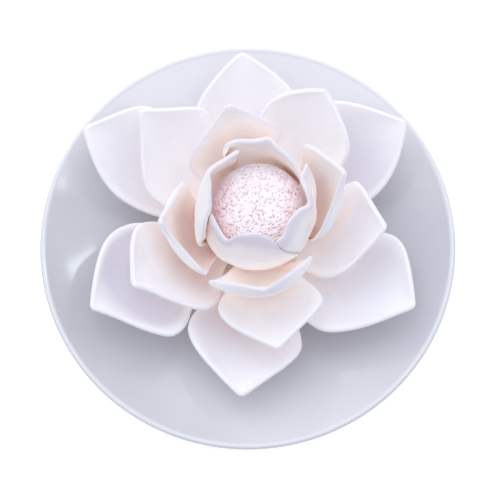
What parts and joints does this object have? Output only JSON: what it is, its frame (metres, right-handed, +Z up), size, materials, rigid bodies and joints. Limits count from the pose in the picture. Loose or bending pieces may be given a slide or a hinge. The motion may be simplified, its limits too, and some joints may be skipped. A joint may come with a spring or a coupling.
{
  "type": "ceramic flower aroma diffuser",
  "caption": "Matt white ceramic lotus flower with a porous pink dome, lying on a shallow round glazed dish, that scents a room by evaporation.",
  "frame": {"origin": "centre of the dish's foot ring, on the surface it stands on", "axes": "+Z up out of the dish, +X to the right and -Y towards the viewer in the front view"},
  "size_m": [0.14, 0.14, 0.0558],
  "materials": {
    "glazed_porcelain": "clear gloss glaze, pale cool grey white",
    "matt_plaster": "unglazed, matt, smooth, near white with a warm tint in the creases",
    "core_clay": "unglazed, rough, cream",
    "pink_porous_stone": "porous, rough, pale pink"
  },
  "bodies": {
    "dish": {"dish": "glazed_porcelain"},
    "flower": {"receptacle": "core_clay", "seed_head": "pink_porous_stone", "outer_petal_1": "matt_plaster", "outer_petal_2": "matt_plaster", "outer_petal_3": "matt_plaster", "outer_petal_4": "matt_plaster", "outer_petal_5": "matt_plaster", "outer_petal_6": "matt_plaster", "middle_petal_1": "matt_plaster", "middle_petal_2": "matt_plaster", "middle_petal_3": "matt_plaster", "middle_petal_4": "matt_plaster", "middle_petal_5": "matt_plaster", "upper_petal_1": "matt_plaster", "upper_petal_2": "matt_plaster", "upper_petal_3": "matt_plaster", "upper_petal_4": "matt_plaster", "cup_petal_back": "matt_plaster", "cup_petal_left": "matt_plaster", "cup_petal_right": "matt_plaster", "cup_petal_front": "matt_plaster"}
  },
  "joints": [
    {"name": "flower_lift", "type": "slide", "parent": "dish", "child": "flower", "axis": [0, 0, 1], "range_m": [0, 0.08]}
  ]
}
